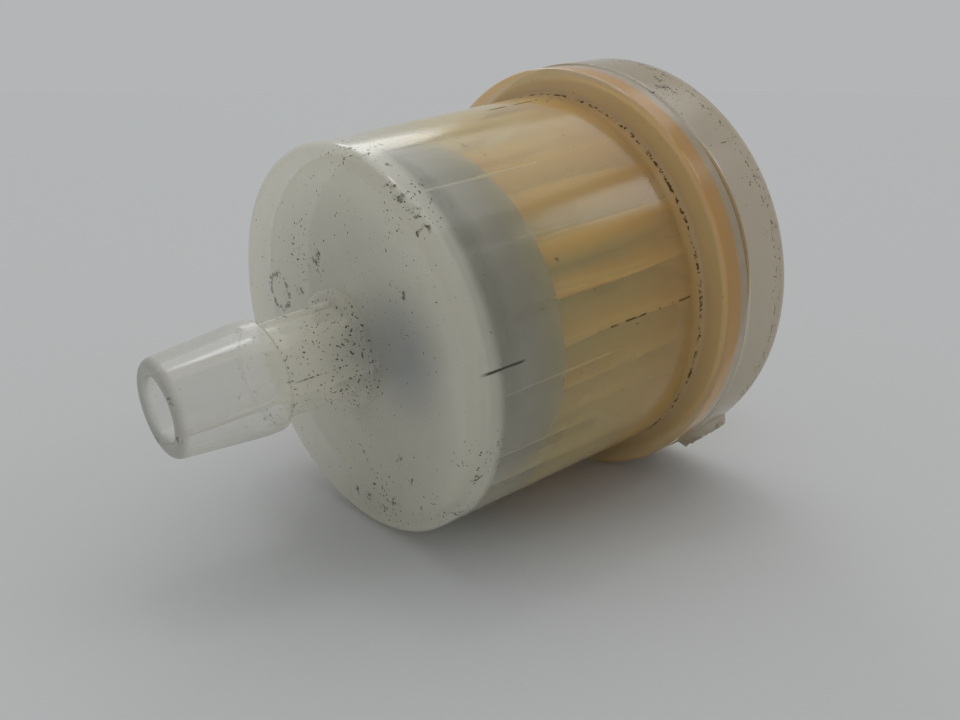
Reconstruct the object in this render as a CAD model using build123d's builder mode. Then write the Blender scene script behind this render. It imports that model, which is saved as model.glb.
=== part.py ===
from build123d import *

import os
from math import cos, pi, radians, sin

# An inline water filter: a moulded translucent cup, closed by a glued-on lid, holds a pleated
# paper element between two hose barbs.  Water flows along +X: in through the inlet barb, round
# the closed front cap of the element, inwards through the paper, and out through the lid.
# Millimetres, +Z up.  The origin is on the axis, in the middle of the inlet barb's widest ring.

# ---- driving dimensions ------------------------------------------------------------------------

# hose barbs, alike at both ends, for hose of 8 mm bore
bore_r = 2.6
barb_r = 4.65            # widest ring, a short cylinder that the hose grips
barb_land = 1.2
barb_tip_r = 3.92
barb_cone = 7.25         # from the widest ring to the tip
barb_tip_round = 0.7
barb_back_round = 0.45   # rounded shoulder behind the widest ring
neck_r = 3.89
neck_reach = 8.5         # from the middle of the widest ring to the housing's face
boss_r = 5.12            # raised disc round the foot of the neck
boss_height = 0.78
neck_foot_round = 0.35
fin_thickness = 0.35     # mould flash left along the top of the inlet neck

# inlet cup
face_x = neck_reach
cup_face_r = 17.0
cup_mouth_r = 17.92      # the wall widens to let the cup leave its mould
cup_length = 25.6        # front face to the collar
cup_wall = 1.25
face_wall = 1.9
face_edge_round = 1.1
rib_count = 16           # ribs inside the cup that keep the element in the middle
rib_turn = 7             # degrees from +Y to the first rib
rib_width = 0.8
rib_length = 14.0
collar_r = 20.25         # socket for the lid
collar_length = 3.3
collar_step = 1.1        # thickness of the collar's floor
collar_wall = 1.05
collar_bead = 0.45       # fillet where the collar rises from the cup

# outlet lid
lid_r = 20.4
lid_rim_length = 6.9     # outside the collar
lid_wall = 3.2
lid_end_wall = 2.0
lid_spigot = 1.4         # how far the lid reaches into the collar
lid_edge_round = 1.9
lid_front_round = 0.25
fit_gap = 0.05
tab_angle = 228.5        # degrees from +Y towards +Z: broken stub of the mould's gate
tab_reach = 0.9
tab_width = 2.2
tab_length = 5.5
tab_set_back = 0.8       # from the lid's end face

# filter element
cap_r = 15.4
cap_plate = 1.2
cap_skirt = 0.8
cap_depth = 5.1          # plate and skirt together
cap_set_back = 5.7       # from the cup's front face to the plate
cap_stub_r = 4.6         # hub on the plate that takes the thrust of the incoming water
cap_stub_wall = 0.9
cap_stub_height = 2.6
cap_rib_count = 4
cap_rib_turn = 57        # degrees from +Y to the first rib
cap_rib_width = 0.9
cap_rib_reach = 13.0
cap_rib_height = 1.6
potting_depth = 1.0      # glue that holds the paper in the front cap
pleat_count = 20
pleat_outer_r = 14.45
pleat_inner_r = 6.6
paper_thickness = 0.55
core_r = 6.0
core_wall = 0.8
core_hole_r = 0.85
core_hole_rows = 6
core_holes_round = 8
strip_thickness = 0.3    # glued strip over the seam of the paper
strip_inset = 1.5        # clear of the cap's skirt, and of the glue behind it
rear_potting_depth = 2.6
rear_potting_hole_r = 4.2

# ---- places along the axis ---------------------------------------------------------------------

collar_x = face_x + cup_length
collar_end_x = collar_x + collar_length
lid_end_x = collar_end_x + lid_rim_length
outlet_barb_x = lid_end_x + neck_reach
cap_x = face_x + cap_set_back
front_potting_x = cap_x + cap_plate
paper_start_x = front_potting_x + potting_depth
lid_floor_x = lid_end_x - lid_end_wall
rear_potting_x = lid_floor_x - rear_potting_depth
paper_length = rear_potting_x - paper_start_x
cup_inner_r = cup_face_r - cup_wall
cup_mouth_inner_r = cup_mouth_r - cup_wall
glue_start_x = collar_x + collar_step
glue_end_x = collar_end_x - lid_spigot
lid_inner_r = lid_r - lid_wall


def cup_inside(x):
    """Inner radius of the cup's tapered wall at a place along the axis."""
    return cup_inner_r + (cup_mouth_r - cup_face_r) * (x - face_x) / cup_length


def polar(radius, angle):
    """Point at a radius and an angle in degrees, in the sketch plane."""
    return (radius * cos(radians(angle)), radius * sin(radians(angle)))


def nozzle_outline(sign, middle):
    """Corners of half a hose barb, from the foot of the boss to the tip.

    sign is -1 for a barb that points along -X, and +1 for one that points along +X; middle is
    the place of the widest ring.
    """
    steps = [
        (-neck_reach, boss_r),
        (boss_height - neck_reach, boss_r),
        (boss_height - neck_reach, neck_r),
        (-barb_land / 2 - barb_back_round, neck_r),
        (-barb_land / 2 - barb_back_round, barb_r),
        (barb_land / 2, barb_r),
        (barb_land / 2 + barb_cone, barb_tip_r),
        (barb_land / 2 + barb_cone, bore_r),
    ]
    return [(middle + sign * along, radius) for along, radius in steps]


def corner(sketch, x, radius):
    """The sketch's vertex nearest to a place in the half section."""
    return sketch.vertices().sort_by_distance((x, radius))[0]


def round_nozzle(sketch, sign, middle):
    """Round the corners of a hose barb in the half section that is being sketched."""
    tip_x = middle + sign * (barb_land / 2 + barb_cone)
    back_x = middle - sign * (barb_land / 2 + barb_back_round)
    foot_x = middle - sign * (neck_reach - boss_height)
    fillet(corner(sketch, tip_x, barb_tip_r), barb_tip_round)
    fillet(corner(sketch, tip_x, bore_r), barb_tip_round / 2)
    fillet(corner(sketch, back_x, barb_r), barb_back_round)
    fillet(corner(sketch, back_x, neck_r), barb_back_round / 2)
    fillet(corner(sketch, foot_x, neck_r), neck_foot_round)
    fillet(corner(sketch, foot_x, boss_r), boss_height / 4)


# ---- inlet housing: barb, neck, cup and collar -------------------------------------------------

with BuildPart() as inlet_housing:
    with BuildSketch(Plane.XZ) as cup_section:
        with BuildLine():
            Polyline(
                nozzle_outline(-1, 0)[::-1]
                + [
                    (face_x, cup_face_r),
                    (collar_x, cup_mouth_r),
                    (collar_x, collar_r),
                    (collar_end_x, collar_r),
                    (collar_end_x, collar_r - collar_wall),
                    (glue_start_x, collar_r - collar_wall),
                    (glue_start_x, cup_mouth_inner_r),
                    (face_x + face_wall, cup_inside(face_x + face_wall)),
                    (face_x + face_wall, bore_r),
                ],
                close=True,
            )
        make_face()
        round_nozzle(cup_section, -1, 0)
        fillet(corner(cup_section, face_x, cup_face_r), face_edge_round)
        fillet(corner(cup_section, collar_x, cup_mouth_r), collar_bead)
        fillet(corner(cup_section, collar_x, collar_r), collar_bead)
        fillet(corner(cup_section, face_x + face_wall, cup_inside(face_x + face_wall)), face_edge_round / 2)
    revolve(axis=Axis.X)

    # ribs on the inside of the wall, from the face back
    rib_clearance = cap_r + 2 * fit_gap
    with BuildSketch(Plane.YZ.offset(face_x + face_wall)):
        rib_depth = cup_inside(face_x + face_wall + rib_length) + cup_wall / 2 - rib_clearance
        with PolarLocations(rib_clearance + rib_depth / 2, rib_count, start_angle=rib_turn):
            Rectangle(rib_depth, rib_width)
    extrude(amount=rib_length)

    # mould flash: a thin fin along the top of the neck
    fin_x = barb_land / 2 + barb_back_round / 2
    with BuildSketch(Plane.XZ):
        with BuildLine():
            Polyline(
                (fin_x, (neck_r + bore_r) / 2),
                (fin_x, barb_r - barb_back_round),
                (face_x - boss_height / 2, (boss_r + neck_r) / 2),
                (face_x - boss_height / 2, (neck_r + bore_r) / 2),
                close=True,
            )
        make_face()
    extrude(amount=fin_thickness / 2, both=True)

# ---- outlet cap: lid, rim, barb and the stub of the mould's gate -------------------------------

with BuildPart() as outlet_cap:
    with BuildSketch(Plane.XZ) as lid_section:
        with BuildLine():
            Polyline(
                nozzle_outline(1, outlet_barb_x)[::-1]
                + [
                    (lid_end_x, lid_r),
                    (collar_end_x, lid_r),
                    (collar_end_x, collar_r - collar_wall - fit_gap),
                    (glue_end_x, collar_r - collar_wall - fit_gap),
                    (glue_end_x, lid_inner_r),
                    (lid_floor_x, lid_inner_r),
                    (lid_floor_x, bore_r),
                ],
                close=True,
            )
        make_face()
        round_nozzle(lid_section, 1, outlet_barb_x)
        fillet(corner(lid_section, lid_end_x, lid_r), lid_edge_round)
        fillet(corner(lid_section, collar_end_x, lid_r), lid_front_round)
    revolve(axis=Axis.X)

    with BuildSketch(Plane.YZ.offset(lid_end_x - tab_set_back)):
        with Locations(Pos(*polar(lid_r, tab_angle)) * Rot(0, 0, tab_angle)):
            Rectangle(2 * tab_reach, tab_width)
    extrude(amount=-tab_length)

# ---- joint adhesive: the bed of glue between the collar and the lid ----------------------------

with BuildPart() as joint_adhesive:
    with BuildSketch(Plane.YZ.offset(glue_start_x)):
        Circle(collar_r - collar_wall)
        Circle(lid_inner_r, mode=Mode.SUBTRACT)
    extrude(amount=glue_end_x - glue_start_x)

# ---- element front cap: closed plate with a skirt, a hub and ribs towards the inlet ------------

with BuildPart() as element_front_cap:
    with BuildSketch(Plane.YZ.offset(cap_x)):
        Circle(cap_r)
    extrude(amount=cap_depth)
    with BuildSketch(Plane.YZ.offset(front_potting_x)):
        Circle(cap_r - cap_skirt)
    extrude(amount=cap_depth, mode=Mode.SUBTRACT)
    front_rim = element_front_cap.edges().filter_by(GeomType.CIRCLE).sort_by(Axis.X)[0]
    fillet(front_rim, cap_plate / 2)
    with BuildSketch(Plane.YZ.offset(cap_x)):
        Circle(cap_stub_r)
    extrude(amount=-cap_stub_height)
    with BuildSketch(Plane.YZ.offset(cap_x)):
        with PolarLocations(cap_rib_reach / 2, cap_rib_count, start_angle=cap_rib_turn):
            Rectangle(cap_rib_reach, cap_rib_width)
    extrude(amount=-cap_rib_height)
    with BuildSketch(Plane.YZ.offset(cap_x - cap_stub_height)):
        Circle(cap_stub_r - cap_stub_wall)
    extrude(amount=cap_stub_height, mode=Mode.SUBTRACT)

# ---- front potting: glue in the front cap, round the ends of the pleats ------------------------

with BuildPart() as front_potting:
    with BuildSketch(Plane.YZ.offset(front_potting_x)):
        Circle(cap_r - cap_skirt)
    extrude(amount=potting_depth)

# ---- pleated media: one sheet of paper folded into a ring --------------------------------------

pleat_pitch = 360 / pleat_count
# half the angle that a flat fold takes up, so that the sheet keeps its thickness there
outer_fold = 180 / pi * paper_thickness / pleat_outer_r
inner_fold = 180 / pi * paper_thickness / pleat_inner_r
# a fold seen edge on is deeper than the sheet is thick, because the walls meet at a sharp angle
fold_depth = 2.4 * paper_thickness


def pleat_outline(crest_r, crest_fold, root_r, root_fold):
    """Points of a folded ring: every crest and root is a short flat, or a point where fold is 0."""
    points = []
    for index in range(pleat_count):
        crest = index * pleat_pitch
        root = crest + pleat_pitch / 2
        for radius, middle, fold in ((crest_r, crest, crest_fold), (root_r, root, root_fold)):
            if fold:
                points.append(polar(radius, middle - fold))
                points.append(polar(radius, middle + fold))
            else:
                points.append(polar(radius, middle))
    return points


with BuildPart() as pleated_media:
    with BuildSketch(Plane.YZ.offset(paper_start_x)):
        with BuildLine():
            Polyline(pleat_outline(pleat_outer_r, outer_fold, pleat_inner_r + fold_depth, 0), close=True)
        make_face()
        with BuildLine(mode=Mode.PRIVATE) as inner_side:
            Polyline(pleat_outline(pleat_outer_r - fold_depth, 0, pleat_inner_r, inner_fold), close=True)
        make_face(inner_side.line.edges(), mode=Mode.SUBTRACT)
    extrude(amount=paper_length)

# ---- media seam strip: covers the joint of the sheet on the crest of one pleat -----------------

with BuildPart() as media_seam_strip:
    crest_y, crest_z = polar(pleat_outer_r, outer_fold)
    strip_start_x = cap_x + cap_depth + strip_inset
    with BuildSketch(Plane.YZ.offset(strip_start_x)):
        with Locations((crest_y + strip_thickness / 2, 0)):
            Rectangle(strip_thickness, 2 * crest_z)
    extrude(amount=rear_potting_x - strip_inset - strip_start_x)

# ---- core tube: perforated support inside the paper --------------------------------------------

with BuildPart() as core_tube:
    with BuildSketch(Plane.YZ.offset(paper_start_x)):
        Circle(core_r)
        Circle(core_r - core_wall, mode=Mode.SUBTRACT)
    extrude(amount=paper_length)
    hole_pitch = paper_length / core_hole_rows
    for row in range(core_hole_rows):
        hole_x = paper_start_x + (row + 0.5) * hole_pitch
        for index in range(core_holes_round // 2):
            turn = (index + 0.5 * (row % 2)) * 360 / core_holes_round
            with Locations(Pos(hole_x, 0, 0) * Rot(turn, 0, 0)):
                Cylinder(core_hole_r, 3 * core_r, mode=Mode.SUBTRACT)

# ---- rear potting: glue that seals the paper and the core into the lid -------------------------

with BuildPart() as rear_potting:
    with BuildSketch(Plane.YZ.offset(rear_potting_x)):
        Circle(lid_inner_r)
        Circle(rear_potting_hole_r, mode=Mode.SUBTRACT)
    extrude(amount=rear_potting_depth)

# ---- output ------------------------------------------------------------------------------------

pieces = {
    "inlet_housing": inlet_housing,
    "outlet_cap": outlet_cap,
    "joint_adhesive": joint_adhesive,
    "element_front_cap": element_front_cap,
    "front_potting": front_potting,
    "pleated_media": pleated_media,
    "media_seam_strip": media_seam_strip,
    "core_tube": core_tube,
    "rear_potting": rear_potting,
}
os.makedirs("parts", exist_ok=True)
for name, piece in pieces.items():
    piece.part.label = name
    export_step(piece.part, f"parts/{name}.step")
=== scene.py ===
"""Looks of an inline water filter: a translucent cup and a lid round a pleated paper element.

Lengths in the dataclasses are millimetres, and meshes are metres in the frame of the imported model:
+X is the way the water flows, +Z is up, and the origin is on the axis, in the middle of the widest
ring of the inlet barb. Angles round the axis are degrees from +Y towards +Z.
"""

import logging
import math
from dataclasses import dataclass, field
from enum import Enum
from typing import Any, Callable

import bpy
import numpy as np
from mathutils import Euler, Matrix, Vector


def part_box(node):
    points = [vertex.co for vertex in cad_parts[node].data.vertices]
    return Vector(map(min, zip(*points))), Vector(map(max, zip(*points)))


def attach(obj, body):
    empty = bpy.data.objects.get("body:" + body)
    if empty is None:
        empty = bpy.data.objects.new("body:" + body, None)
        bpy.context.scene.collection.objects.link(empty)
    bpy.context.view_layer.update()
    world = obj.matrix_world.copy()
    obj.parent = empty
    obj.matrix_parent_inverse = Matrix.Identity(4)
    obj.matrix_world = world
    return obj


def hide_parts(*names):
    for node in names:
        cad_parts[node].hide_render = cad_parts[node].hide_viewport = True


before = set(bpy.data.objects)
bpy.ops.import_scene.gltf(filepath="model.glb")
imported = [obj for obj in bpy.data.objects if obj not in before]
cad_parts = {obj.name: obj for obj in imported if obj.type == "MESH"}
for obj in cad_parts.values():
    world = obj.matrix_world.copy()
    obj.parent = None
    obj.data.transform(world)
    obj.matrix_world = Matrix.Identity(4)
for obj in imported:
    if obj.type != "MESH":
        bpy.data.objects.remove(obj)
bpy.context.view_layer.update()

MM = 0.001
BODY = "root"
EASE = 0.12
SHARPEST = 0.02
log = logging.getLogger("filter")

Array = np.ndarray
Socket = bpy.types.NodeSocket
Reshape = Callable[[Array, Array, Array], tuple[Array, Array]]


class Flow(Enum):
    """The way a hose barb points along the axis."""

    INLET = -1
    OUTLET = 1


class Wear(Enum):
    """How thickly a surface is peppered with dust: the level of noise under which a point is a speck."""

    LIGHT = 0.32
    HEAVY = 0.335


# ---- numbers and colours -----------------------------------------------------------------------


def linear(code: str) -> tuple[float, float, float, float]:
    """Turn an sRGB hex colour into the linear colour that shaders use.

    Each channel is divided by 12.92 when it is very dark, and otherwise it is raised to 2.4 after
    the usual offset and scale.

    Args:
        code: the colour, such as "#a0b0c0".

    Returns:
        Red, green, blue, and an alpha of 1.
    """
    srgb = [int(code[i:i + 2], 16) / 255 for i in (1, 3, 5)]
    channels = [c / 12.92 if c <= 0.04045 else ((c + 0.055) / 1.055) ** 2.4 for c in srgb]
    return (*channels, 1.0)


def smooth(value: Array) -> Array:
    """Ease a ramp from 0 to 1: three times its square less twice its cube, held at both ends."""
    held = np.clip(value, 0, 1)
    return held * held * (3 - 2 * held)


def ridge(angle: Array, middle: float, half_width: Array, edge: Array) -> Array:
    """Height of a ridge that runs along the axis: 1 on its top, 0 away from it.

    The distance round from the ridge's middle, less half its width, falls from 1 to 0 over edge.

    Args:
        angle: degrees round the axis.
        middle: where the ridge is, in degrees.
        half_width: half the ridge's width, in degrees.
        edge: how far its flank spreads, in degrees.

    Returns:
        The height, from 0 to 1.
    """
    away = np.abs((angle - middle + 180) % 360 - 180)
    return smooth((half_width + edge - away) / edge)


def ripple(angle: Array, along: Array, seed: int, waves: int = 7) -> Array:
    """A smooth uneven surface, as the sum of a few slow waves round and along the axis.

    Each wave is a sine of a whole number of turns and a phase that drifts along the axis, and
    weaker the more turns it has.

    Args:
        angle: degrees round the axis.
        along: place along the axis, in mm.
        seed: chooses the phases.
        waves: how many waves are added.

    Returns:
        The height, about -1 to 1.
    """
    draw = np.random.default_rng(seed)
    turns = np.arange(1, waves + 1)
    phase = draw.uniform(0, 2 * math.pi, waves)
    drift = draw.uniform(-0.25, 0.25, waves)
    wave = np.sin(np.radians(angle)[..., None] * turns + along[..., None] * drift + phase)
    return (wave / np.sqrt(turns)).sum(-1) / np.sqrt(1 / turns).sum() * 2


# ---- meshes ------------------------------------------------------------------------------------


def rounded(corners: list[tuple[float, float, float]], steps: int = 6) -> Array:
    """Outline of a half section, with an arc in place of each corner.

    An arc of radius r starts r divided by the tangent of half the corner's angle away from the
    corner, and its middle is r divided by that half angle's sine along the bisector. No corner is
    rounded by less than SHARPEST mm. A point just before and just after each arc, EASE mm or a
    quarter of the flat away, keeps the flats beside it flat when they are shaded.

    Args:
        corners: place along the axis, radius, and rounding, in mm, for each corner in turn.
        steps: points on each arc.

    Returns:
        Closed outline, one row of place and radius a point.
    """
    table = np.array(corners, float)
    spot, turn_r = table[:, :2], np.maximum(table[:, 2], SHARPEST)[:, None]
    back, ahead = np.roll(spot, 1, 0) - spot, np.roll(spot, -1, 0) - spot
    back_l, ahead_l = (np.linalg.norm(v, axis=1, keepdims=True) for v in (back, ahead))
    back, ahead = back / back_l, ahead / ahead_l
    half = np.arccos(np.clip((back * ahead).sum(1, keepdims=True), -1, 1)) / 2
    reach = turn_r / np.tan(half)
    bisector = (back + ahead) / np.linalg.norm(back + ahead, axis=1, keepdims=True)
    middle = spot + bisector * turn_r / np.sin(half)
    first, last = (spot + v * reach - middle for v in (back, ahead))
    sweep = (math.pi - 2 * half)[:, None, :]
    share = np.linspace(0, 1, steps)[None, :, None]
    arc = np.sin((1 - share) * sweep) * first[:, None] + np.sin(share * sweep) * last[:, None]
    arc = middle[:, None] + arc / np.sin(sweep)
    before, after = ((spot + v * (reach + np.minimum(EASE, 0.25 * np.maximum(length - reach, 0.01))))[:, None]
                     for v, length in ((back, back_l), (ahead, ahead_l)))
    return np.concatenate([before, arc, after], 1).reshape(-1, 2)


def divided(outline: Array, longest: float) -> Array:
    """Cut the long straight stretches of a closed outline into equal lengths.

    Args:
        outline: rows of place and radius, in mm.
        longest: no stretch is left longer than this.

    Returns:
        The outline with more points.
    """
    step = np.roll(outline, -1, 0) - outline
    parts = np.maximum(np.ceil(np.linalg.norm(step, axis=1) / longest), 1).astype(int)
    which = np.repeat(np.arange(len(outline)), parts)
    count = np.arange(parts.sum()) - np.repeat(np.cumsum(parts) - parts, parts)
    return outline[which] + step[which] * (count / parts[which])[:, None]


def grid_mesh(name: str, points: Array) -> bpy.types.Object:
    """Make a closed mesh from a grid of points, in square faces that point outwards.

    Point (i, j) is joined to its neighbours (i+1, j) and (i, j+1), and the last row and column to
    the first. The signed volume under the faces, a third of each face's middle times its area
    vector, says whether they point outwards.

    Args:
        name: the piece's name.
        points: rows by columns by 3, in mm.

    Returns:
        The object, riding on the filter's body.
    """
    rows, columns = points.shape[:2]
    row, column = np.arange(rows)[:, None], np.arange(columns)[None, :]
    next_row, next_column = (row + 1) % rows, (column + 1) % columns
    quads = np.stack([row * columns + column, next_row * columns + column,
                      next_row * columns + next_column, row * columns + next_column], -1).reshape(-1, 4)
    flat = points.reshape(-1, 3) * MM
    corner = flat[quads]
    spread = np.cross(corner[:, 2] - corner[:, 0], corner[:, 3] - corner[:, 1])
    if (corner.mean(1) * spread).sum() < 0:
        quads = quads[:, ::-1]
    mesh = bpy.data.meshes.new(name)
    mesh.from_pydata(flat, [], quads)
    mesh.polygons.foreach_set("use_smooth", np.ones(len(quads), bool))
    mesh.update()
    piece = bpy.data.objects.new(name, mesh)
    bpy.context.scene.collection.objects.link(piece)
    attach(piece, BODY)
    return piece


def revolved(name: str, outline: Array, steps: int, reshape: Reshape) -> bpy.types.Object:
    """Turn a closed half section round the axis.

    A point at place x and radius r goes to x, r times the cosine of the angle, and r times its
    sine, after reshape has moved it.

    Args:
        name: the piece's name.
        outline: rows of place and radius, in mm.
        steps: how many angles make the full turn.
        reshape: moves place and radius, given the angle in degrees, place and radius.

    Returns:
        The object.
    """
    angle = np.linspace(0, 360, steps, endpoint=False)[:, None] + 0 * outline[None, :, 0]
    along, radius = reshape(angle, outline[None, :, 0] + 0 * angle, outline[None, :, 1] + 0 * angle)
    turn = np.radians(angle)
    return grid_mesh(name, np.stack([along, radius * np.cos(turn), radius * np.sin(turn)], -1))


def dress(piece: bpy.types.Object, material: bpy.types.Material) -> None:
    """Give a piece one material in place of those it has."""
    piece.data.materials.clear()
    piece.data.materials.append(material)


# ---- materials ---------------------------------------------------------------------------------


def add(tree: bpy.types.NodeTree, kind: str, inputs: dict[Any, Any] | None = None,
        **settings: Any) -> bpy.types.Node:
    """Add a node with its settings, its input values and its links.

    Args:
        tree: the material's tree.
        kind: the node's type, without its ShaderNode prefix.
        inputs: a value, or another node's output to link, for each input by name or number.
        settings: the node's own properties.

    Returns:
        The node.
    """
    node = tree.nodes.new("ShaderNode" + kind)
    for key, value in settings.items():
        setattr(node, key, value)
    for key, value in (inputs or {}).items():
        if isinstance(value, bpy.types.NodeSocket):
            tree.links.new(value, node.inputs[key])
        else:
            node.inputs[key].default_value = value
    return node


@dataclass(frozen=True)
class Mark:
    """A mark on a surface, at a place along, round and out from the axis, and how far it is across."""

    along: float
    angle: float
    radius: float
    size: float

    def spot(self) -> tuple[float, float, float]:
        """The mark's middle, in metres."""
        turn = math.radians(self.angle)
        return (self.along * MM, self.radius * math.cos(turn) * MM, self.radius * math.sin(turn) * MM)


@dataclass(frozen=True)
class Scratch:
    """A thin dark line that runs along the axis, or round it, with gaps.

    A line along the axis keeps the angle at, from the place start to the place end. A line round
    the axis keeps the place at, from the angle start to the angle end. The line shows where noise
    with lumps grain mm across is under gaps.
    """

    at: float
    start: float
    end: float
    width: float
    gaps: float
    round_axis: bool = False
    grain: float = 1.1


class Pattern:
    """Nodes of one material, and masks worked out from Object coordinates.

    Every mask is an output that is 1 on the mark and 0 off it.
    """

    def __init__(self, name: str) -> None:
        """Start an empty material.

        Args:
            name: the material's name.
        """
        self.material = bpy.data.materials.new(name)
        self.material.use_nodes = True
        self.tree = self.material.node_tree
        self.tree.nodes.clear()
        self.noises: dict[tuple[float, float, float], Socket] = {}
        self.place = add(self.tree, "TexCoord").outputs["Object"]
        split = add(self.tree, "SeparateXYZ", {0: self.place})
        self.x, self.y, self.z = split.outputs
        across = add(self.tree, "CombineXYZ", {"Y": self.y, "Z": self.z}).outputs[0]
        self.radius = self.vector("LENGTH", "Value", across)

    def math(self, operation: str, *values: Any) -> Socket:
        """Work out one number from others.

        Args:
            operation: the Math node's operation.
            values: numbers, or outputs of other nodes.

        Returns:
            The result's output.
        """
        return add(self.tree, "Math", dict(enumerate(values)), operation=operation).outputs[0]

    def off(self, value: Any, middle: float) -> Socket:
        """How far a number is from a middle value, either way."""
        return self.math("ABSOLUTE", self.math("SUBTRACT", value, middle))

    def opposite(self, share: Socket) -> Socket:
        """One less a share."""
        return self.math("SUBTRACT", 1.0, share)

    def vector(self, operation: str, result: str, *values: Any) -> Socket:
        """Work out the named result of a Vector Math node from vectors."""
        return add(self.tree, "VectorMath", dict(enumerate(values)), operation=operation).outputs[result]

    def blend(self, factor: Any, first: Any, second: Any) -> Socket:
        """Colour that is the first where factor is 0 and the second where it is 1."""
        return add(self.tree, "Mix", {"Factor": factor, 6: first, 7: second}, data_type="RGBA").outputs[2]

    def layer(self, share: Any, first: Socket, second: Socket) -> Socket:
        """Surface that is the first where share is 0 and the second where it is 1."""
        return add(self.tree, "MixShader", {0: share, 1: first, 2: second}).outputs[0]

    def fall(self, value: Any, full: float, none: float) -> Socket:
        """Ease from 1 where value is full to 0 where it is none."""
        return add(self.tree, "MapRange", {"Value": value, "From Min": full, "From Max": none, "To Min": 1.0,
                                           "To Max": 0.0}, interpolation_type="SMOOTHSTEP").outputs[0]

    def noise(self, size: float, detail: float = 2.0, rough: float = 0.5) -> Socket:
        """Cloudy noise whose lumps are about size mm across. Each kind is made once and shared."""
        kind = (size, detail, rough)
        if kind not in self.noises:
            self.noises[kind] = add(self.tree, "TexNoise", {
                "Vector": self.place, "Scale": 0.5 / (size * MM), "Detail": detail, "Roughness": rough,
            }).outputs["Fac"]
        return self.noises[kind]

    def all_of(self, *masks: Any) -> Socket:
        """Where every mask is: their product."""
        result = masks[0]
        for mask in masks[1:]:
            result = self.math("MULTIPLY", result, mask)
        return result

    def any_of(self, *masks: Any) -> Socket:
        """Where at least one mask is: the greatest of them."""
        result = masks[0]
        for mask in masks[1:]:
            result = self.math("MAXIMUM", result, mask)
        return result

    def away(self, spot: tuple[float, float, float]) -> Socket:
        """Distance from a place."""
        return self.vector("DISTANCE", "Value", self.place, spot)

    def towards(self, angle: float) -> Socket:
        """How far a point lies out from the axis in the direction of an angle."""
        turn = math.radians(angle)
        return self.vector("DOT_PRODUCT", "Value", self.place, (0, math.cos(turn), math.sin(turn)))

    def line(self, scratch: Scratch) -> Socket:
        """Mask of a thin broken line along the axis, or round it.

        It fades out over the last mm at each end of a line along the axis, and over the last 4
        degrees at each end of one round it. A full turn has no ends.
        """
        half = scratch.width * MM / 2
        wobble = self.math("MULTIPLY", self.math("SUBTRACT", self.noise(0.8, 3, 0.6), 0.5), 1.3 * half)
        breaks = self.fall(self.noise(scratch.grain, 3, 0.75), scratch.gaps - 0.04, scratch.gaps + 0.02)
        middle, spread = (scratch.start + scratch.end) / 2, (scratch.end - scratch.start) / 2
        ends: Any = 1.0
        if scratch.round_axis:
            away = self.math("SUBTRACT", self.x, scratch.at * MM)
            if spread < 180:
                full, none = (math.cos(math.radians(turn)) for turn in (max(spread - 4, 0), spread))
                ends = self.fall(self.math("DIVIDE", self.towards(middle), self.radius), full, none)
        else:
            away = self.towards(scratch.at + 90)
            near = self.fall(self.off(self.x, middle * MM), spread * MM - MM, spread * MM)
            ends = self.all_of(near, self.math("GREATER_THAN", self.towards(scratch.at), 0.0))
        across = self.math("ABSOLUTE", self.math("ADD", away, wobble))
        return self.all_of(self.fall(across, half * 0.5, half), breaks, ends)

    def spots(self, marks: tuple[Mark, ...]) -> Socket:
        """Mask of ragged specks at given places: round ones, shaken by noise and then crumbled by it."""
        shake = add(self.tree, "TexNoise", {"Vector": self.place, "Scale": 0.5 / (0.3 * MM), "Detail": 3.0})
        centred = self.vector("SUBTRACT", "Vector", shake.outputs["Color"], (0.5, 0.5, 0.5))
        moved = self.vector("MULTIPLY_ADD", "Vector", centred, (1.6 * MM,) * 3, self.place)
        masks = [self.fall(self.vector("DISTANCE", "Value", moved, mark.spot()),
                           mark.size * MM * 0.1, mark.size * MM * 0.6) for mark in marks]
        return self.all_of(self.any_of(*masks), self.fall(self.noise(0.14, 2, 0.6), 0.46, 0.6))

    def dust(self, amount: float, size: float, where: Any = 1.0) -> Socket:
        """Mask of small specks, more of them where the where mask is strong."""
        crowd = self.math("MULTIPLY_ADD", self.noise(5.0, 2, 0.5), 0.16, amount - 0.08)
        limit = self.math("MULTIPLY", crowd, where)
        return self.math("LESS_THAN", self.noise(size, 1.0, 0.5), limit)

    def finish(self, surface: Socket) -> bpy.types.Material:
        """Join the surface to the output and return the material."""
        add(self.tree, "OutputMaterial", {"Surface": surface})
        return self.material


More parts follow.
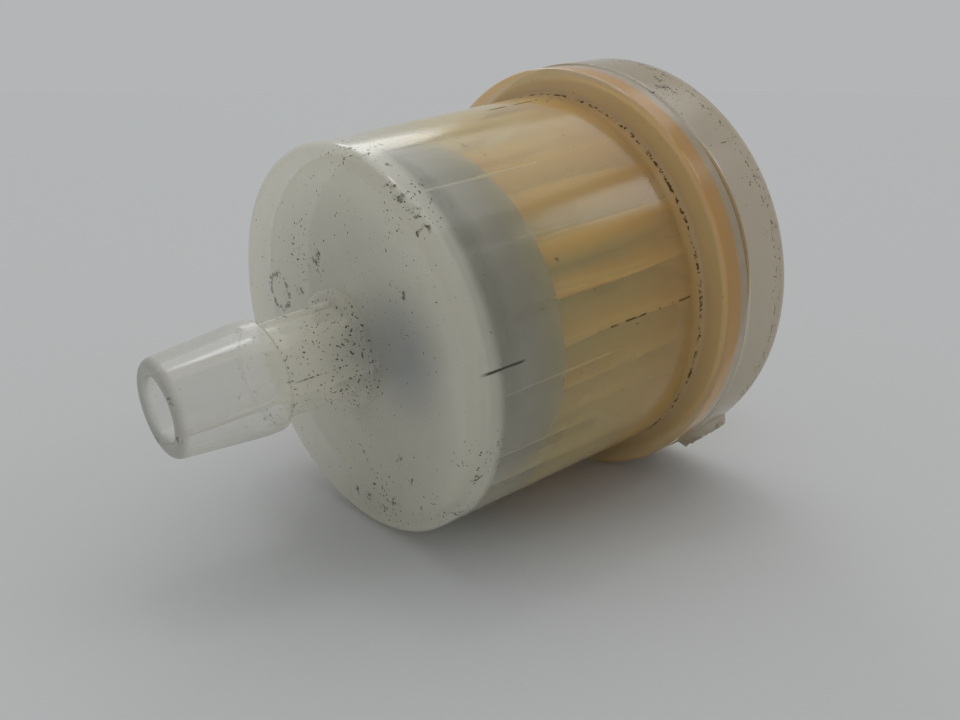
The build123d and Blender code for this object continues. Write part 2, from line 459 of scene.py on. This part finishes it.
@dataclass(frozen=True)
class NaturalPolypropylene:
    """Injection-moulded natural polypropylene: milky, see-through and satin.

    It lets soft shapes behind it show, goes whiter where the view runs along a wall, and carries
    a broad soft highlight. Light and shade are also painted into its milk: along the axis, in rings
    and in a patch of shade. Dirt sits on its outer skin, as dark specks and as dotted mould lines.

    Attributes:
        name: the material's name.
        milk: colour of the milk at places along the axis in order; its changes paint light and shade.
        clear: share of the light a wall lets through straight on, at places along the axis in order.
        flow: the way the hose barb points.
        end_x: the skin beyond this place can be dirty down to bore_r, and elsewhere down to skin_r.
        scatter: share of the milk that sends light on rather than back.
        marks: dirt specks.
        patches: where the dust is thick.
        dusty_rings: place and spread of rings where the dust is thick.
        thick_and_lit_rings: place, radius, spread and greatest milkiness of rings of raised milk: painted
            light, and thicker plastic where a ring sits on a corner.
        pin_ring: the round groove left by an ejector pin, as wide as the mark.
        shade: where painted shade, in shade_tint, stands for the dark parts behind the wall.
        bare: dust in the clean places, as a share of that in the dirty ones.
        speck: size of the noise that makes the specks of dust, in mm.
        steepest: least cosine of the view's angle that the milk is worked out for.
        fullest: greatest milkiness.
    """

    name: str
    milk: tuple[tuple[float, str], ...]
    clear: tuple[tuple[float, float], ...]
    flow: Flow = Flow.INLET
    end_x: float = 0.0
    bore_r: float = 3.0
    skin_r: float = 16.85
    scatter: float = 0.5
    roughness: float = 0.15
    scratches: tuple[Scratch, ...] = ()
    marks: tuple[Mark, ...] = ()
    patches: tuple[Mark, ...] = ()
    wear: Wear = Wear.LIGHT
    dusty_rings: tuple[tuple[float, float], ...] = ()
    thick_and_lit_rings: tuple[tuple[float, float, float, float], ...] = ()
    pin_ring: Mark | None = None
    shade: Mark | None = None
    shade_tint: str = "#c9cbcb"
    dirt: str = "#2b2519"
    bare: float = 0.64
    speck: float = 0.13
    steepest: float = 0.14
    fullest: float = 0.96

    def milkiness(self, mat: Pattern) -> Socket:
        """Share of the light that a wall scatters, which is what it doesn't let through.

        The share let through straight on is raised to the power of one over the cosine of the
        view's angle, as a slanted path through the wall is that much longer.
        """
        facing = add(mat.tree, "LayerWeight", {"Blend": 0.5}).outputs["Facing"]
        cosine = mat.math("MAXIMUM", mat.opposite(facing), self.steepest)
        cloud = mat.math("MULTIPLY_ADD", mat.noise(3.5, 3, 0.6), 0.16, -0.08)
        clear: Any = self.clear[0][1]
        for (x, share), (next_x, next_share) in zip(self.clear, self.clear[1:]):
            clear = mat.math("MULTIPLY_ADD", mat.fall(mat.x, next_x * MM, x * MM), next_share - share, clear)
        milky = mat.opposite(mat.math("POWER", clear, mat.math("DIVIDE", 1.0, cosine)))
        milky = mat.math("ADD", milky, cloud)
        # Rings of raised milk: painted light, and thicker plastic where a ring sits on a corner.
        for x, radius, spread, most in self.thick_and_lit_rings:
            section = add(mat.tree, "CombineXYZ", {"X": mat.x, "Y": mat.radius}).outputs[0]
            ring = mat.vector("DISTANCE", "Value", section, (x * MM, radius * MM, 0))
            thick = mat.math("MULTIPLY", mat.fall(ring, spread * MM * 0.3, spread * MM), most)
            milky = mat.math("MAXIMUM", milky, thick)
        return mat.math("MINIMUM", milky, self.fullest)

    def tint(self, mat: Pattern, dirt: Socket) -> Socket:
        """Colour of the milk along the axis, with painted light and shade, under the painted shade patch and
        the dirt.
        """
        # The milk's colour changes along the axis: painted light and shade.
        colour: Any = linear(self.milk[0][1])
        for (x, _), (next_x, tint) in zip(self.milk, self.milk[1:]):
            colour = mat.blend(mat.fall(mat.x, next_x * MM, x * MM), colour, linear(tint))
        # Painted shade: a soft patch of shade_tint round the shade mark.
        if self.shade:
            size = self.shade.size * MM
            shaded = mat.fall(mat.away(self.shade.spot()), 0.1 * size, 0.6 * size)
            colour = mat.blend(shaded, colour, linear(self.shade_tint))
        return mat.blend(dirt, colour, linear(self.dirt))

    def build(self) -> bpy.types.Material:
        """Make the material: milk over a clear window, dirt over both, and gloss on the outside."""
        mat = Pattern(self.name)
        tree = mat.tree
        milky = self.milkiness(mat)

        near_ring = [mat.fall(mat.off(mat.x, x * MM), 0.3 * MM, spread * MM)
                     for x, spread in self.dusty_rings]
        near_patch = [mat.fall(mat.away(patch.spot()), patch.size * MM * 0.2, patch.size * MM * 0.5)
                      for patch in self.patches]
        where = mat.math("MULTIPLY_ADD", mat.any_of(0.0, *near_ring, *near_patch), 1 - self.bare, self.bare)
        dirt = mat.dust(self.wear.value, self.speck, where)
        dirt = mat.any_of(dirt, *[mat.line(scratch) for scratch in self.scratches])
        if self.marks:
            dirt = mat.any_of(dirt, mat.spots(self.marks))
        height = mat.math("MULTIPLY", mat.noise(0.9, 4, 0.6), 0.5)
        if self.pin_ring:
            off_ring = mat.off(mat.away(self.pin_ring.spot()), self.pin_ring.size / 2 * MM)
            groove = mat.fall(off_ring, 0.02 * MM, 0.2 * MM)
            height = mat.math("SUBTRACT", height, mat.math("MULTIPLY", groove, 3.0))
            crumbs = mat.fall(mat.noise(0.3, 3, 0.7), 0.46, 0.54)
            grime = mat.all_of(mat.fall(off_ring, 0.1 * MM, 0.45 * MM), crumbs)
            dirt = mat.any_of(dirt, mat.math("MULTIPLY", grime, 0.8))
        beyond = mat.math("GREATER_THAN", mat.math("MULTIPLY", mat.x, self.flow.value), self.end_x * MM)
        skin = mat.any_of(mat.all_of(beyond, mat.math("GREATER_THAN", mat.radius, self.bore_r * MM)),
                          mat.math("GREATER_THAN", mat.radius, self.skin_r * MM))
        dirt = mat.all_of(dirt, skin, 0.9)

        bump = add(tree, "Bump", {"Strength": 0.12, "Distance": 0.15 * MM, "Height": height}).outputs[0]
        colour = self.tint(mat, dirt)
        front = add(tree, "BsdfDiffuse", {"Color": colour, "Normal": bump}).outputs[0]
        through = add(tree, "BsdfTranslucent", {"Color": colour, "Normal": bump}).outputs[0]
        milk = mat.layer(self.scatter, front, through)
        window = add(tree, "BsdfTransparent", {"Color": linear("#ffffff")}).outputs[0]
        wall = mat.layer(mat.any_of(milky, dirt), window, milk)
        outside = mat.opposite(add(tree, "NewGeometry").outputs["Backfacing"])
        fresnel = add(tree, "Fresnel", {"IOR": 1.49, "Normal": bump}).outputs[0]
        shine = mat.all_of(fresnel, outside, mat.opposite(dirt))
        gloss = add(tree, "BsdfGlossy", {"Color": linear("#ffffff"), "Roughness": self.roughness,
                                         "Normal": bump}).outputs[0]
        return mat.finish(mat.layer(shine, wall, gloss))


@dataclass(frozen=True)
class PlainPolypropylene:
    """Plain moulded polypropylene: matt, a little cloudy, with a faint sheen.

    The grey of the cap is solid. The unpigmented core tube lets light through, and glows.
    """

    name: str
    light: str
    dark: str
    glow: float = 0.0
    roughness: float = 0.5

    def build(self) -> bpy.types.Material:
        """Make the material and return it. Light and dark are mixed by clouds 2 mm across."""
        mat = Pattern(self.name)
        cloud = mat.fall(mat.noise(2.0, 3, 0.6), 0.4, 0.62)
        colour = mat.blend(cloud, linear(self.light), linear(self.dark))
        gloss = mat.math("MULTIPLY_ADD", mat.noise(1.4), 0.2, self.roughness - 0.1)
        front = add(mat.tree, "BsdfPrincipled", {
            "Base Color": colour, "Roughness": gloss, "IOR": 1.49}).outputs[0]
        if not self.glow:
            return mat.finish(front)
        through = add(mat.tree, "BsdfTranslucent", {"Color": colour}).outputs[0]
        return mat.finish(mat.layer(self.glow, front, through))


@dataclass(frozen=True)
class AmberHotMelt:
    """Amber hot-melt glue, poured and set: glossy, honey-coloured, and clouded lighter and darker."""

    name: str
    light: str
    dark: str
    glow: float = 0.25
    roughness: float = 0.3

    def build(self) -> bpy.types.Material:
        """Make the material and return it. Light and dark are mixed by clouds 5 mm across."""
        mat = Pattern(self.name)
        cloud = mat.fall(mat.noise(5.0, 4, 0.7), 0.2, 0.8)
        colour = mat.blend(cloud, linear(self.light), linear(self.dark))
        bump = add(mat.tree, "Bump", {
            "Strength": 0.3, "Distance": 0.2 * MM, "Height": mat.noise(0.8)}).outputs[0]
        front = add(mat.tree, "BsdfPrincipled", {
            "Base Color": colour, "Roughness": self.roughness, "IOR": 1.48, "Normal": bump}).outputs[0]
        through = add(mat.tree, "BsdfTranslucent", {"Color": colour, "Normal": bump}).outputs[0]
        return mat.finish(mat.layer(self.glow, front, through))


@dataclass(frozen=True)
class FilterPaper:
    """Resin-treated cellulose paper, folded: matt, fibrous, pale in the folds, deeper amber on the crests.

    The change with the radius is painted light and shade across the pleats. It is also deeper amber
    over the last 10 mm before soak_x, where the glue has soaked in. Light passes through it, so it
    glows where it is lit from the far side.
    """

    name: str
    pale: str
    deep_amber: str
    crest_r: float
    fold_r: float
    soak_x: float
    glow: float = 0.96

    def build(self) -> bpy.types.Material:
        """Make the material and return it. The deeper amber follows the radius, blurred by clouds, as painted
        light and shade.
        """
        mat = Pattern(self.name)
        blur = mat.math("MULTIPLY_ADD", mat.noise(2.5, 3, 0.6), 1.6 * MM, -0.8 * MM)
        crest = mat.fall(mat.math("ADD", mat.radius, blur), self.crest_r * MM, self.fold_r * MM)
        soaked = mat.math("MULTIPLY", mat.fall(mat.x, self.soak_x * MM, (self.soak_x - 10) * MM), 0.7)
        colour = mat.blend(mat.any_of(crest, soaked), linear(self.pale), linear(self.deep_amber))
        fibre = mat.noise(0.25, 4.0, 0.7)
        bump = add(mat.tree, "Bump", {"Strength": 0.4, "Distance": 0.12 * MM, "Height": fibre}).outputs[0]
        front = add(mat.tree, "BsdfPrincipled", {"Base Color": colour, "Roughness": 0.8, "IOR": 1.4,
                                                 "Normal": bump}).outputs[0]
        through = add(mat.tree, "BsdfTranslucent", {"Color": colour, "Normal": bump}).outputs[0]
        return mat.finish(mat.layer(self.glow, front, through))


@dataclass(frozen=True)
class PaleBoard:
    """Matt pale laminate board: the floor of the studio."""

    name: str = "pale_matt_laminate"
    colour: str = "#cbcccc"

    def build(self) -> bpy.types.Material:
        """Make the material and return it."""
        mat = Pattern(self.name)
        grain = add(mat.tree, "Bump", {
            "Strength": 0.08, "Distance": 0.1 * MM, "Height": mat.noise(0.6)}).outputs[0]
        return mat.finish(add(mat.tree, "BsdfPrincipled", {
            "Base Color": linear(self.colour), "Roughness": 0.8, "IOR": 1.2, "Normal": grain}).outputs[0])


# ---- the filter's pieces -----------------------------------------------------------------------


@dataclass
class HoseBarb:
    """A hose barb on its neck, as corners of a half section.

    The bore and the barb are alike at both ends of the filter.
    """

    bore_r: float = 2.6
    barb_r: float = 4.65
    barb_land: float = 1.2
    tip_r: float = 3.92
    cone: float = 7.25
    tip_round: float = 0.7
    back_round: float = 0.45
    neck_r: float = 3.89
    reach: float = 8.5
    boss_r: float = 5.12
    boss_height: float = 0.78

    def corners(self, flow: Flow, middle: float) -> list[tuple[float, float, float]]:
        """Corners from the tip to the foot of the boss, with their roundings.

        Args:
            flow: the way the barb points.
            middle: place of its widest ring along the axis.

        Returns:
            Place, radius and rounding for each corner.
        """
        back = -self.barb_land / 2 - self.back_round
        steps = [
            (self.barb_land / 2 + self.cone, self.bore_r, self.tip_round / 2),
            (self.barb_land / 2 + self.cone, self.tip_r, self.tip_round),
            (self.barb_land / 2, self.barb_r, 0.3),
            (back, self.barb_r, self.back_round),
            (back, self.neck_r, self.back_round / 2),
            (self.boss_height - self.reach, self.neck_r, 0.35),
            (self.boss_height - self.reach, self.boss_r, self.boss_height / 4),
            (-self.reach, self.boss_r, 0.1),
        ]
        return [(middle + flow.value * along, radius, turn) for along, radius, turn in steps]


@dataclass
class InletHousing:
    """The cup: hose barb, front face, tapered wall with ribs inside, and the collar at its mouth."""

    barb: HoseBarb = field(default_factory=HoseBarb)
    face_r: float = 17.0
    mouth_r: float = 17.92
    length: float = 25.6
    wall: float = 1.25
    face_wall: float = 1.9
    face_round: float = 1.1
    collar_r: float = 20.25
    collar_step: float = 1.1
    collar_wall: float = 1.05
    bead: float = 0.45
    rib_count: int = 16
    rib_turn: float = 7.0
    rib_width: float = 0.8
    rib_length: float = 14.0
    rib_top_r: float = 15.5
    rib_ease: float = 0.8
    fin_width: float = 0.35
    fin_rise: float = 0.25
    unevenness: float = 0.03
    steps: int = 384

    def inside(self, along: Array) -> Array:
        """Inner radius of the wall, which widens evenly from the face to the mouth."""
        slope = (self.mouth_r - self.face_r) / self.length
        return self.face_r - self.wall + slope * (along - self.barb.reach)

    def outline(self) -> Array:
        """Half section of the cup, rounded and divided, in mm."""
        face, mouth = self.barb.reach, self.barb.reach + self.length
        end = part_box("inlet_housing")[1].x / MM
        floor = mouth + self.collar_step
        back = face + self.face_wall
        corners = self.barb.corners(Flow.INLET, 0.0) + [
            (face, self.face_r, self.face_round),
            (mouth, self.mouth_r, self.bead),
            (mouth, self.collar_r, self.bead),
            (end, self.collar_r, 0.12),
            (end, self.collar_r - self.collar_wall, 0.12),
            (floor, self.collar_r - self.collar_wall, 0.1),
            (floor, self.mouth_r - self.wall, 0.1),
            (back, float(self.inside(back)), self.face_round / 2),
            (back, self.barb.bore_r, 0.2),
        ]
        return divided(rounded(corners), 0.9)

    def reshape(self, angle: Array, along: Array, radius: Array) -> tuple[Array, Array]:
        """Raise the ribs inside the wall and the fin of mould flash on the neck.

        A rib lifts the inner wall to one radius, and the fin lifts the neck to a straight line from
        the back of the barb to the boss. The outer wall is uneven by a few hundredths of a mm.
        """
        pitch = 360 / self.rib_count
        step = 360 / self.steps
        back = self.barb.reach + self.face_wall
        inner = (np.abs(radius - self.inside(along)) < 0.05) & (along > back)
        near = (angle - self.rib_turn + pitch / 2) % pitch - pitch / 2
        rib = smooth((np.degrees(self.rib_width / 2 / radius) + step - np.abs(near)) / step)
        rib = rib * smooth((back + self.rib_length - along) / self.rib_ease) * inner
        radius = radius + (self.rib_top_r - radius) * rib
        start = self.barb.barb_land / 2 + self.barb.back_round / 2
        end = self.barb.reach - self.barb.boss_height / 2
        share = (along - start) / (end - start)
        top = self.barb.barb_r - self.barb.back_round + self.fin_rise * share
        outside = radius > (self.barb.bore_r + self.barb.neck_r) / 2
        on_neck = (along > start) & (along < end) & outside & (radius < top)
        fin = ridge(angle, 90.0, math.degrees(self.fin_width / 2 / self.barb.neck_r), step)
        radius = radius + (top - radius) * fin * on_neck
        outer = radius > self.face_r - self.wall / 3
        return along, radius - outer * self.unevenness * (1 + ripple(angle, along, 3)) / 2

    def build(self) -> bpy.types.Object:
        """Make the cup, dress it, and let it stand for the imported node."""
        piece = revolved("housing_shell", self.outline(), self.steps, self.reshape)
        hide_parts("inlet_housing")
        face = self.barb.reach
        mouth = face + self.length
        tip = -self.barb.barb_land / 2 - self.barb.cone
        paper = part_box("pleated_media")[0].x / MM
        dress(piece, NaturalPolypropylene(
            name="natural_polypropylene_cup",
            # Painted light and shade in the milk: painted shade on the ring at the barb's tip, and cream to
            # amber over the paper and the collar for the glow of the paper and the glue behind the wall.
            milk=((tip + 0.1, "#b0aea4"), (tip + 0.8, "#dddacf"), (-1, "#dddacf"), (1, "#f6f3e6"),
                  (face + 2, "#f6f3e6"), (paper - 2.5, "#f2efe1"), (paper + 2.5, "#f6e7ac"),
                  (mouth - 10, "#f5e4a2"), (mouth - 3, "#f9d886"), (mouth + 0.1, "#f5e2ac"),
                  (mouth + 0.6, "#efb858"), (mouth + 2.0, "#efb858"), (mouth + 2.4, "#d9d2bf")),
            clear=((tip + 0.1, 0.50), (tip + 0.8, 0.80), (0, 0.80), (2, 0.73), (face, 0.53),
                   (face + self.face_wall, 0.53), (face + 3, 0.88), (paper - 1, 0.88), (paper + 3, 0.79),
                   (mouth + 0.1, 0.79), (mouth + 0.6, 0.62)),
            end_x=-face - self.face_round,
            scratches=(
                Scratch(at=174.6, start=face + 0.5, end=face + 5.5, width=0.3, gaps=0.62),
                Scratch(at=174.6, start=face + 12, end=mouth - 0.5, width=0.22, gaps=0.5),
                Scratch(at=178, start=1.2, end=face, width=0.16, gaps=0.48),
                Scratch(at=95, start=mouth - 9.5, end=mouth - 0.3, width=0.3, gaps=0.52),
                Scratch(at=mouth - 0.35, start=-180, end=180, width=0.42, gaps=0.48, round_axis=True,
                        grain=0.28),
            ),
            marks=(
                Mark(18.7, 153.1, 17.4, 0.7), Mark(8.5, 75, 8.1, 0.9), Mark(8.5, 71, 7.7, 0.8),
                Mark(8.5, 35, 6.9, 0.8), Mark(8.5, 31, 7.6, 0.6), Mark(8.5, 265, 9.4, 0.7),
                Mark(8.5, 263, 10.3, 0.6), Mark(8.5, 274, 14.1, 0.9), Mark(8.5, 267, 14.2, 1.0),
                Mark(8.5, 258, 14.6, 0.9), Mark(8.5, 250, 13.7, 0.8), Mark(8.5, 232, 10.6, 0.6),
                Mark(8.5, 232, 12.7, 0.8), Mark(8.5, 234, 15.1, 0.7), Mark(8.5, 138, 10.7, 0.6),
                Mark(8.5, 146, 11.4, 0.9), Mark(9.0, 121, 17.0, 1.1), Mark(9.0, 125, 17.0, 1.0),
                Mark(9.1, 131, 17.0, 1.1), Mark(9.2, 136, 17.0, 1.0), Mark(8.7, 136, 16.5, 0.7),
                Mark(10.3, 113, 17.1, 0.8), Mark(9.6, 101, 17.0, 1.0), Mark(9.6, 107, 17.0, 0.8),
                Mark(17.6, 113, 17.3, 0.6), Mark(9.3, 205, 17.0, 0.8), Mark(9.3, 222, 17.0, 0.9),
                Mark(-7.7, 205, 3.4, 0.9), Mark(-7.7, 150, 3.4, 0.7), Mark(-7.7, 300, 3.3, 0.8),
            ),
            patches=(
                Mark(6.0, 0, 0, 16), Mark(8.5, 60, 9, 9), Mark(8.5, 255, 14, 9), Mark(9.5, 126, 17, 9),
                Mark(10, 100, 17, 9), Mark(9.5, 200, 17, 8), Mark(10, 225, 17, 8), Mark(32, 95, 18, 5),
            ),
            wear=Wear.HEAVY,
            dusty_rings=((face - 1.0, 1.4), (1.2, 0.8)),
            # Raised milk: at the face's rounded rim, thicker plastic and a painted highlight; at the mouth,
            # painted amber light.
            thick_and_lit_rings=((face + 0.8, self.face_r - 0.8, 2.4, 0.68),
                         (mouth - 0.2, self.mouth_r + 1, 2.6, 0.7)),
            # Painted shade beside the boss, for the cap's hub and ribs behind the face.
            shade=Mark(face, 170, 8.0, 12.0),
            pin_ring=Mark(face, 18.0, 10.4, 3.3),
        ).build())
        return piece


@dataclass
class OutletLid:
    """The lid: a rounded rim that closes the collar, an end wall, and the outlet barb."""

    barb: HoseBarb = field(default_factory=HoseBarb)
    rim_r: float = 20.4
    rim_length: float = 6.9
    wall: float = 3.2
    end_wall: float = 2.0
    spigot: float = 1.4
    spigot_r: float = 19.15
    edge_round: float = 1.9
    tab_angle: float = 228.5
    tab_reach: float = 0.9
    tab_width: float = 2.2
    tab_length: float = 5.5
    tab_set_back: float = 0.8
    tab_ease: float = 0.35
    steps: int = 384

    def end(self) -> float:
        """Place of the lid's end face, in mm."""
        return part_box("outlet_cap")[1].x / MM - self.barb.barb_land / 2 - self.barb.cone - self.barb.reach

    def outline(self) -> Array:
        """Half section of the lid, rounded and divided, in mm."""
        end = self.end()
        front = end - self.rim_length
        corners = self.barb.corners(Flow.OUTLET, end + self.barb.reach) + [
            (end, self.rim_r, self.edge_round),
            (front, self.rim_r, 0.25),
            (front, self.spigot_r, 0.1),
            (front - self.spigot, self.spigot_r, 0.15),
            (front - self.spigot, self.rim_r - self.wall, 0.15),
            (end - self.end_wall, self.rim_r - self.wall, 0.3),
            (end - self.end_wall, self.barb.bore_r, 0.2),
        ]
        return divided(rounded(corners), 0.7)

    def reshape(self, angle: Array, along: Array, radius: Array) -> tuple[Array, Array]:
        """Raise the broken stub of the gate on the rim, with a ragged top."""
        end = self.end() - self.tab_set_back
        start = end - self.tab_length
        window = smooth((along - start) / self.tab_ease) * smooth((end - along) / self.tab_ease)
        on_rim = radius > self.rim_r - 0.6
        ragged = 1 - 0.2 * np.sin(along * 3.1) ** 2 - 0.25 * np.sin(np.radians(angle) * 70) ** 2
        stub = ridge(angle, self.tab_angle, np.degrees(self.tab_width / 2 / radius), 360 / self.steps)
        top = self.rim_r + self.tab_reach * ragged
        return along, radius + (top - radius) * on_rim * window * stub

    def build(self) -> bpy.types.Object:
        """Make the lid, dress it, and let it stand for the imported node."""
        piece = revolved("lid_shell", self.outline(), self.steps, self.reshape)
        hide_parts("outlet_cap")
        end = self.end()
        dress(piece, NaturalPolypropylene(
            name="natural_polypropylene_lid",
            # Painted shade in the milk: darker and warmer towards the lid's end wall, for the amber potting
            # behind it.
            milk=((end - 2.4, "#c4b592"), (end - 0.3, "#ddd5bf"), (end + 3, "#e6e0cc")),
            clear=((end - 1.2, 0.60), (end - 0.2, 0.50), (end + 1.5, 0.74)),
            flow=Flow.OUTLET,
            end_x=end - self.edge_round,
            skin_r=19.6,
            scratches=(
                Scratch(at=end - 2.7, start=100, end=200, width=0.16, gaps=0.46, round_axis=True, grain=0.4),
                Scratch(at=139, start=end - 7, end=end - 2, width=0.12, gaps=0.5),
            ),
            marks=(
                Mark(end - 4.9, 118, 20.4, 1.2), Mark(end - 4.2, 114, 20.4, 1.0),
                Mark(end - 5.6, 117, 20.4, 0.9), Mark(end - 3.1, 127, 20.4, 0.8),
                Mark(end - 4.6, 121, 20.4, 0.7), Mark(end - 2.2, 163, 20.4, 0.9),
                Mark(end - 2.0, 150, 20.4, 0.7),
            ),
            patches=(Mark(end - 5, 117, 20.4, 9), Mark(end - 2, 150, 20.4, 8)),
            wear=Wear.LIGHT,
            dusty_rings=((end - 2.6, 1.5),),
        ).build())
        return piece


@dataclass
class PleatedPaper:
    """The folded paper ring: pleats with rounded crests, uneven in depth and lean."""

    count: int = 20
    outer_r: float = 14.4
    inner_r: float = 6.7
    thickness: float = 0.5
    samples: int = 24
    rows: int = 44
    sharpness: float = 0.96
    unevenness: float = 0.22
    shortening: float = 0.6

    def sheet(self, side: float) -> Array:
        """One face of the paper, as a grid along and round the axis, in mm.

        The radius follows a triangle wave with softened tips, one tooth a pleat: the arcsine of a
        cosine that falls a little short of 1. Between the paper's ends every crest is leant and
        shortened a little by slow ripples. The face is moved by half the paper's thickness along
        the sheet's own normal in the plane across the axis.

        Args:
            side: 1 for the outer face, -1 for the inner one.

        Returns:
            Rows by columns by 3.
        """
        low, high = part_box("pleated_media")
        along = np.linspace(low.x / MM, high.x / MM, self.rows)[:, None]
        share = np.linspace(0, 1, self.count * self.samples, endpoint=False)[None, :]
        angle = share * 360 + 0 * along
        phase = share * self.count * 2 * math.pi
        tooth = np.arcsin(self.sharpness * np.cos(phase)) / math.asin(self.sharpness)
        crest = (tooth + 1) / 2
        waist = np.sin(math.pi * (along - along.min()) / (along.max() - along.min()))
        lean = ripple(angle, along, 11, 23) * self.unevenness * waist * 360 / self.count
        depth = (self.outer_r - self.inner_r) / 2 - self.thickness / 2
        middle = (self.outer_r + self.inner_r) / 2
        short = 0.5 * waist * (1 + ripple(angle, along, 5, 31)) * crest * self.shortening
        radius = middle + tooth * depth - short
        turn = np.radians(angle + lean * crest)
        spot = np.stack([radius * np.cos(turn), radius * np.sin(turn)], -1)
        tangent = np.roll(spot, -1, 1) - np.roll(spot, 1, 1)
        tangent /= np.linalg.norm(tangent, axis=-1, keepdims=True)
        normal = np.stack([tangent[..., 1], -tangent[..., 0]], -1)
        spot = spot + side * normal * self.thickness / 2
        return np.concatenate([(along + 0 * angle)[..., None], spot], -1)

    def build(self) -> bpy.types.Object:
        """Make the paper as one closed sheet, dress it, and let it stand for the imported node."""
        points = np.concatenate([self.sheet(1.0), self.sheet(-1.0)[::-1]], 0)
        piece = grid_mesh("pleated_paper", points)
        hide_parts("pleated_media")
        # The paper is deeper amber on the crests and pale in the folds: painted light and shade across the
        # pleats.
        dress(piece, FilterPaper(
            "resin_treated_filter_paper", "#fbf6cc", "#f9e298", crest_r=self.outer_r - 0.5,
            fold_r=self.inner_r + 1.5, soak_x=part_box("pleated_media")[1].x / MM).build())
        return piece


@dataclass
class Element:
    """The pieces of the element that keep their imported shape: cap, glue, core and seam strip.

    The seam tape's soak_x is past the outlet, so no glue has soaked into it.
    """

    def build(self) -> list[bpy.types.Object]:
        """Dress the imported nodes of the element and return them."""
        grey = PlainPolypropylene("grey_polypropylene_cap", "#737060", "#676452").build()
        core = PlainPolypropylene("natural_polypropylene_core", "#f0ead8", "#e6dcc0", glow=0.8).build()
        amber = AmberHotMelt("amber_hot_melt", "#f0c878", "#dfa650").build()
        # The tape also carries painted light and shade by radius, deeper amber on the outside.
        tape = FilterPaper("paper_seam_tape", "#ecd9ac", "#dcb878",
                           crest_r=15.0, fold_r=10.0, soak_x=60.0).build()
        finishes = {"element_front_cap": grey, "core_tube": core, "joint_adhesive": amber,
                    "front_potting": amber, "rear_potting": amber, "media_seam_strip": tape}
        for name, material in finishes.items():
            dress(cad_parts[name], material)
        return [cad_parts[name] for name in finishes]


# ---- studio ------------------------------------------------------------------------------------


@dataclass
class Studio:
    """Pale floor, soft lights and the camera.

    The filter touches the floor at two places, each a place along the axis and a radius. Azimuth,
    elevation and roll are degrees, and distance, focal length and aim are mm.
    """

    rest_front: tuple[float, float]
    rest_back: tuple[float, float]
    floor_size: float = 5000.0
    azimuth: float = -39.7
    elevation: float = 21.46
    roll: float = -4.4
    distance: float = 82.1
    focal_length: float = 33.03
    aim: tuple[float, float, float] = (21.36, -2.33, -4.56)
    room: str = "#b3b5b6"
    board: PaleBoard = field(default_factory=PaleBoard)

    def floor(self) -> bpy.types.Object:
        """A plane that touches the bottom of the cup's face and the bottom of the lid's rim."""
        (x0, r0), (x1, r1) = self.rest_front, self.rest_back
        half = self.floor_size / 2
        x = np.array([x0 - half, x0 + half])
        z = -(r0 + (x - x0) * (r1 - r0) / (x1 - x0))
        points = np.stack([np.stack([x, np.full(2, y), z], -1) for y in (-half, half)], 0)
        mesh = bpy.data.meshes.new("studio_floor")
        mesh.from_pydata(points.reshape(-1, 3) * MM, [], [(0, 1, 3, 2)])
        piece = bpy.data.objects.new("studio_floor", mesh)
        bpy.context.scene.collection.objects.link(piece)
        dress(piece, self.board.build())
        return piece

    def sun(self, name: str, towards: tuple[float, float, float], power: float, spread: float) -> None:
        """Add an even light from one side.

        Args:
            name: the light's name.
            towards: the direction from the filter to the light.
            power: its strength in watts a square metre.
            spread: how wide it looks, in degrees.
        """
        data = bpy.data.lights.new(name, "SUN")
        data.energy, data.angle = power, math.radians(spread)
        lamp = bpy.data.objects.new(name, data)
        lamp.rotation_euler = Vector(towards).to_track_quat("Z", "Y").to_euler()
        bpy.context.scene.collection.objects.link(lamp)

    def camera(self) -> bpy.types.Object:
        """Add the camera, at its distance from the aim point, turned by azimuth, elevation and roll."""
        data = bpy.data.cameras.new("camera")
        data.lens, data.clip_start = self.focal_length, 0.001
        turn = Euler((math.radians(90 - self.elevation), 0, math.radians(self.azimuth))).to_matrix()
        turn = turn @ Matrix.Rotation(math.radians(self.roll), 3, "Z")
        piece = bpy.data.objects.new("camera", data)
        piece.matrix_world = Matrix.Translation(
            Vector(self.aim) * MM + turn @ Vector((0, 0, self.distance * MM))) @ turn.to_4x4()
        bpy.context.scene.collection.objects.link(piece)
        bpy.context.scene.camera = piece
        return piece

    def build(self) -> None:
        """Set up floor, world, lights and camera.

        The bounces are enough for a view through both walls of the cup and the paper between them.
        """
        self.floor()
        world = bpy.data.worlds.new("soft_room")
        world.use_nodes = True
        back = world.node_tree.nodes["Background"]
        back.inputs["Color"].default_value = linear(self.room)
        back.inputs["Strength"].default_value = 1.0
        bpy.context.scene.world = world
        self.sun("window_light", (0.89, 0.29, 2.0), power=0.68, spread=60)
        self.sun("side_window", (0.71, -0.42, 0.57), power=0.11, spread=14)
        self.sun("rear_window", (0.45, 0.67, 0.55), power=0.16, spread=18)
        self.sun("ceiling_tube", (0.22, 0.15, 0.96), power=0.09, spread=8)
        bpy.context.scene.view_settings.view_transform = "Standard"
        bpy.context.scene.cycles.transparent_max_bounces = 32
        bpy.context.scene.cycles.max_bounces = 8
        self.camera()


def main() -> None:
    """Build the studio and every piece in order, and report each."""
    logging.basicConfig(level=logging.INFO, format="%(name)s: %(message)s")
    cup, lid = InletHousing(), OutletLid()
    Studio(rest_front=(cup.barb.reach, cup.face_r), rest_back=(lid.end() - lid.edge_round, lid.rim_r)).build()
    pieces = [cup.build(), lid.build(), PleatedPaper().build(), *Element().build()]
    for piece in pieces:
        log.info("%s: %d faces", piece.name, len(piece.data.polygons))


if __name__ == "__main__":
    main()
